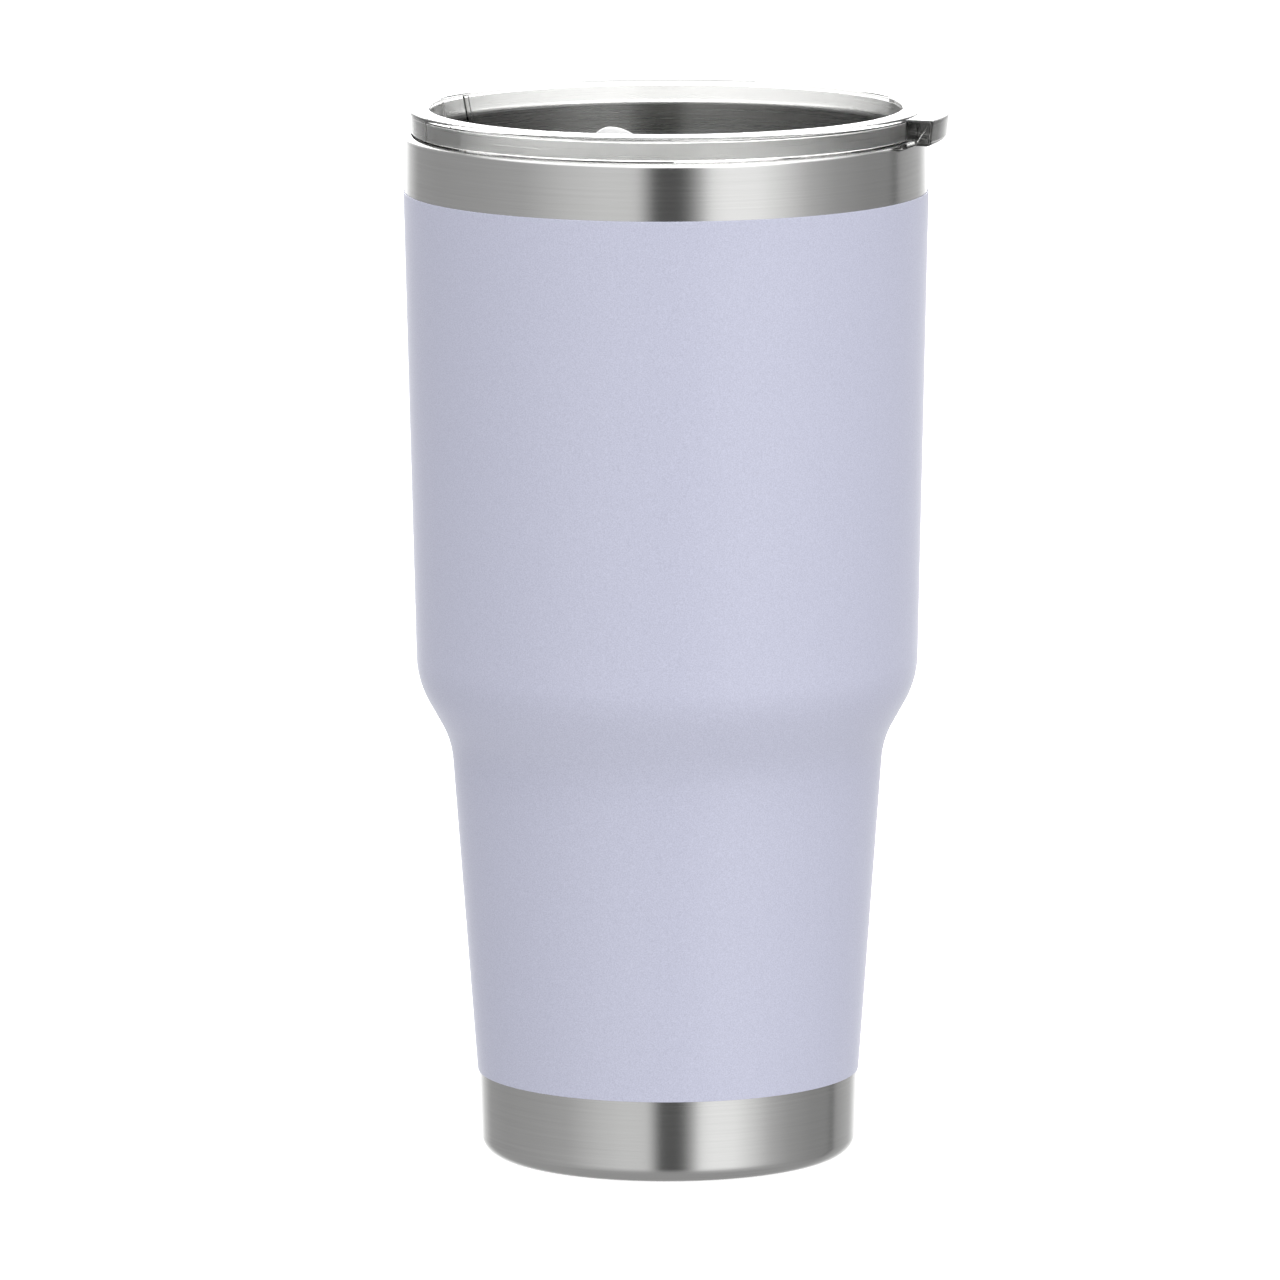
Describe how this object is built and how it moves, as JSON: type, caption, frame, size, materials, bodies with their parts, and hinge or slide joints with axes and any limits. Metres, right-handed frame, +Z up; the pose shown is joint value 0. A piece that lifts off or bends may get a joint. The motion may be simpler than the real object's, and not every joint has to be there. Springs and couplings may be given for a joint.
{
  "type": "insulated tumbler with lid",
  "caption": "Tall double-walled steel tumbler with a stepped taper, a lavender coat between bare steel bands, and a clear push-on lid with a sliding closure.",
  "frame": {"origin": "centre of the base, on the plane that the cup stands on", "axes": "+Z up along the cup's axis, +X towards the thumb lip of the lid, the drink opening at -X"},
  "size_m": [0.1063, 0.1022, 0.2062],
  "materials": {
    "brushed_steel": "brushed",
    "powder_coat": "satin",
    "liner_steel": "satin",
    "copper_foil": "bright",
    "port_seal": "dull",
    "getter": "matte",
    "clear_plastic": "clear",
    "silicone": "satin",
    "frosted_plastic": "frosted"
  },
  "bodies": {
    "cup": {"outer_shell": "brushed_steel", "powder_coat": "powder_coat", "inner_liner": "liner_steel", "copper_foil": "copper_foil", "outer_bottom": "liner_steel", "port_seal": "port_seal", "getter": "getter", "getter_clip": "liner_steel", "base_cover": "brushed_steel"},
    "lid": {"lid_body": "clear_plastic", "lid_gasket": "silicone"},
    "slider": {"slider": "frosted_plastic", "slider_seal": "silicone"}
  },
  "joints": [
    {"name": "lid_lift", "type": "slide", "parent": "cup", "child": "lid", "axis": [0, 0, 1], "range_m": [0, 0.04]},
    {"name": "slider_slide", "type": "slide", "parent": "lid", "child": "slider", "axis": [1, 0, 0], "range_m": [0, 0.014]}
  ]
}
